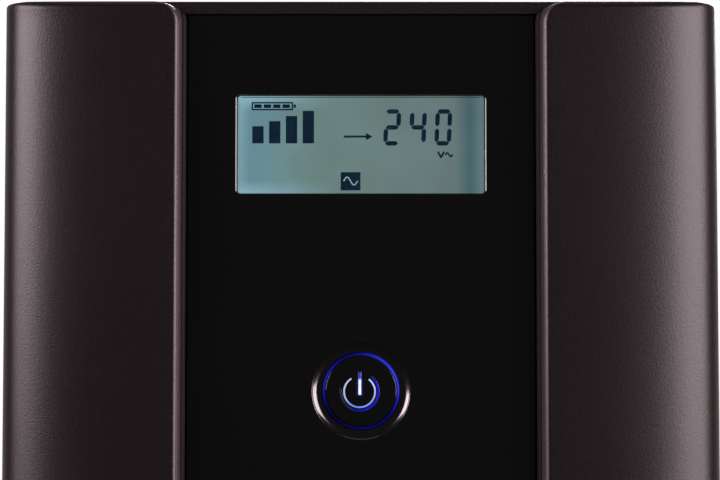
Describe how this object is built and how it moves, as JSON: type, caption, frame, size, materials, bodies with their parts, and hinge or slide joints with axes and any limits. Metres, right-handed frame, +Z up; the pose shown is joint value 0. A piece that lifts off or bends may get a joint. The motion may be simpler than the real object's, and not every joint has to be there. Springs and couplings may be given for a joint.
{
  "type": "uninterruptible power supply",
  "caption": "Upright black battery backup unit with a glossy display panel between two rounded matte wings, a lit power button, vented steel case, rear sockets and fan.",
  "frame": {"origin": "middle of the unit's footprint, at the level its feet stand on", "axes": "+Z up, the display and power button face -Y, +X to the right as seen from the front"},
  "size_m": [0.145, 0.397, 0.22],
  "materials": {
    "textured_black_plastic": "fine spark-eroded texture, black with a warm tint",
    "piano_black_plastic": "polished piano black",
    "clear_lens": "clear moulded plastic lens",
    "lcd_glass": "display glass, pale grey-green",
    "backlight_diffuser": "white diffuser",
    "black_plastic": "moulded black plastic",
    "circuit_board": "green circuit board with solder mask",
    "light_guide": "frosted light guide lit blue",
    "pale_plastic": "moulded pale plastic",
    "ribbon_grey": "ribbed grey cable sheath",
    "galvanised_steel": "zinc coated sheet",
    "black_painted_steel": "fine textured black powder coat",
    "rubber": "matte black rubber",
    "zinc_screws": "bright zinc plate",
    "black_screws": "black oxide",
    "battery_case": "moulded dark grey plastic",
    "tinned_brass": "tinned brass",
    "black_cable": "soft black cable sheath",
    "red_cable": "soft red cable sheath",
    "lamination_steel": "varnished steel laminations",
    "copper_winding": "enamelled copper wire",
    "aluminium": "extruded aluminium",
    "capacitor_sleeve": "shrunk plastic sleeve",
    "relay_blue": "moulded blue plastic",
    "port_shell": "tinned steel shell"
  },
  "bodies": {
    "case": {"front_bezel": "textured_black_plastic", "front_panel": "piano_black_plastic", "lcd_lens": "clear_lens", "lcd_glass": "lcd_glass", "lcd_backlight": "backlight_diffuser", "lcd_holder": "black_plastic", "display_board": "circuit_board", "switch_body": "black_plastic", "button_leds": "light_guide", "display_ribbon": "ribbon_grey", "ribbon_headers": "black_plastic", "base_chassis": "galvanised_steel", "case_cover": "black_painted_steel", "rear_panel": "black_painted_steel", "rubber_feet": "rubber", "foot_screws": "zinc_screws", "case_screws": "black_screws", "chassis_screws": "zinc_screws", "battery_left": "battery_case", "battery_right": "battery_case", "battery_terminals": "tinned_brass", "battery_bracket": "galvanised_steel", "battery_link": "black_cable", "battery_lead_red": "red_cable", "battery_lead_black": "black_cable", "transformer_core": "lamination_steel", "transformer_coil": "copper_winding", "transformer_feet": "galvanised_steel", "transformer_bolts": "zinc_screws", "board_shelf": "galvanised_steel", "board_standoffs": "tinned_brass", "main_board": "circuit_board", "board_screws": "zinc_screws", "display_screws": "zinc_screws", "heat_sink_left": "aluminium", "heat_sink_right": "aluminium", "power_transistors": "black_plastic", "bulk_capacitors": "capacitor_sleeve", "relays": "relay_blue", "filter_choke": "copper_winding", "fan_frame": "black_plastic", "fan_screws": "black_screws", "ac_inlet": "black_plastic", "inlet_pins": "tinned_brass", "outlet_block_upper": "black_plastic", "outlet_block_lower": "black_plastic", "breaker_body": "black_plastic", "breaker_nut": "zinc_screws", "comm_board": "circuit_board", "usb_port": "port_shell", "serial_port": "port_shell", "line_ports": "black_plastic", "slot_cover": "black_painted_steel", "slot_screws": "zinc_screws"},
    "button": {"power_button": "piano_black_plastic", "button_light_guide": "light_guide"},
    "plunger": {"switch_plunger": "pale_plastic"},
    "fan": {"fan_rotor": "black_plastic"},
    "reset": {"breaker_button": "black_plastic"}
  },
  "joints": [
    {"name": "button_press", "type": "slide", "parent": "case", "child": "button", "axis": [0, 1, 0], "range_m": [0, 0.001], "stiffness_N_per_m": 1200, "springref_m": -0.0008},
    {"name": "plunger_press", "type": "slide", "parent": "case", "child": "plunger", "axis": [0, 1, 0], "range_m": [0, 0.001]},
    {"name": "fan_spin", "type": "hinge", "parent": "case", "child": "fan", "pos_m": [-0.022, 0.178, 0.16775], "axis": [0, 1, 0], "continuous": true},
    {"name": "reset_pop", "type": "slide", "parent": "case", "child": "reset", "axis": [0, 1, 0], "range_m": [0, 0.004]}
  ],
  "couplings": [
    {"joint": "plunger_press", "follows": "button_press", "ratio": 1}
  ]
}
